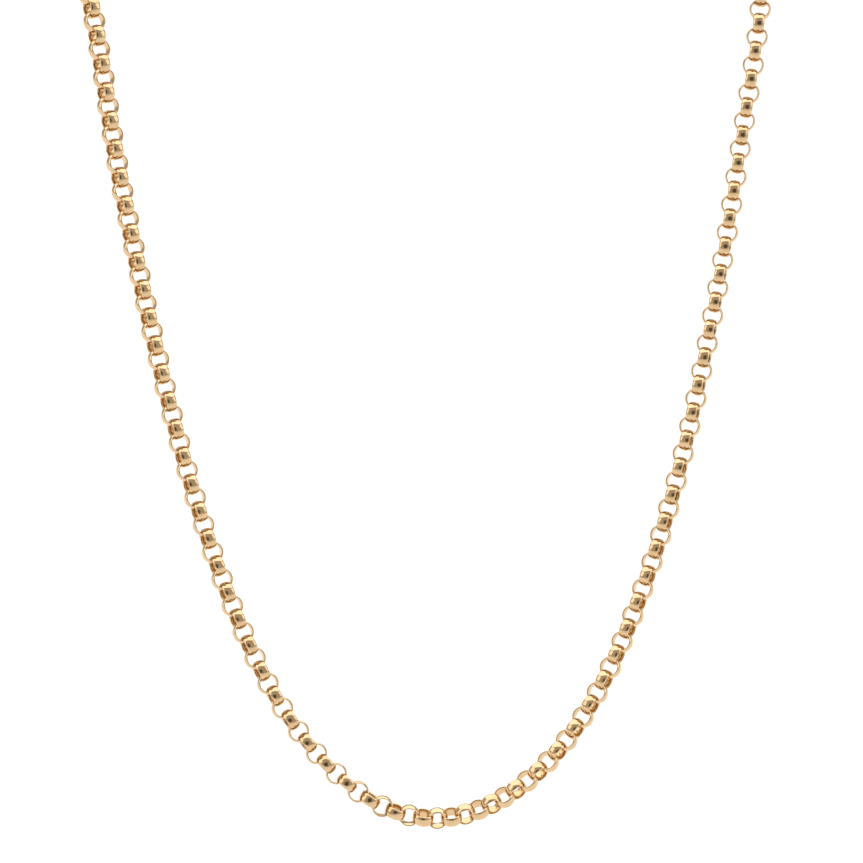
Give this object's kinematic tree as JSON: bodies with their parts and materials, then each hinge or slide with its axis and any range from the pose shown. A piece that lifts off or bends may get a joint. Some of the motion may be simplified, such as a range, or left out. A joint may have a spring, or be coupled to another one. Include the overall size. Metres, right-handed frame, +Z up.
{
  "type": "rolo chain necklace",
  "caption": "Gold rolo chain necklace in its worn loop: round band links, each square to the next, closed at the nape by a plain barrel clasp.",
  "frame": {"origin": "where the clasp's inner side rests on the nape of the neck", "axes": "+Z up, -Y from the nape towards the wearer's front, +X towards the wearer's left"},
  "size_m": [0.1204, 0.1017, 0.1614],
  "materials": {
    "yellow_gold": "polished 14 karat yellow gold",
    "yellow_gold_clasp": "polished 14 karat yellow gold, barrel turned and buffed"
  },
  "bodies": {
    "root": {"rolo_chain": "yellow_gold", "clasp": "yellow_gold_clasp"}
  },
  "joints": []
}
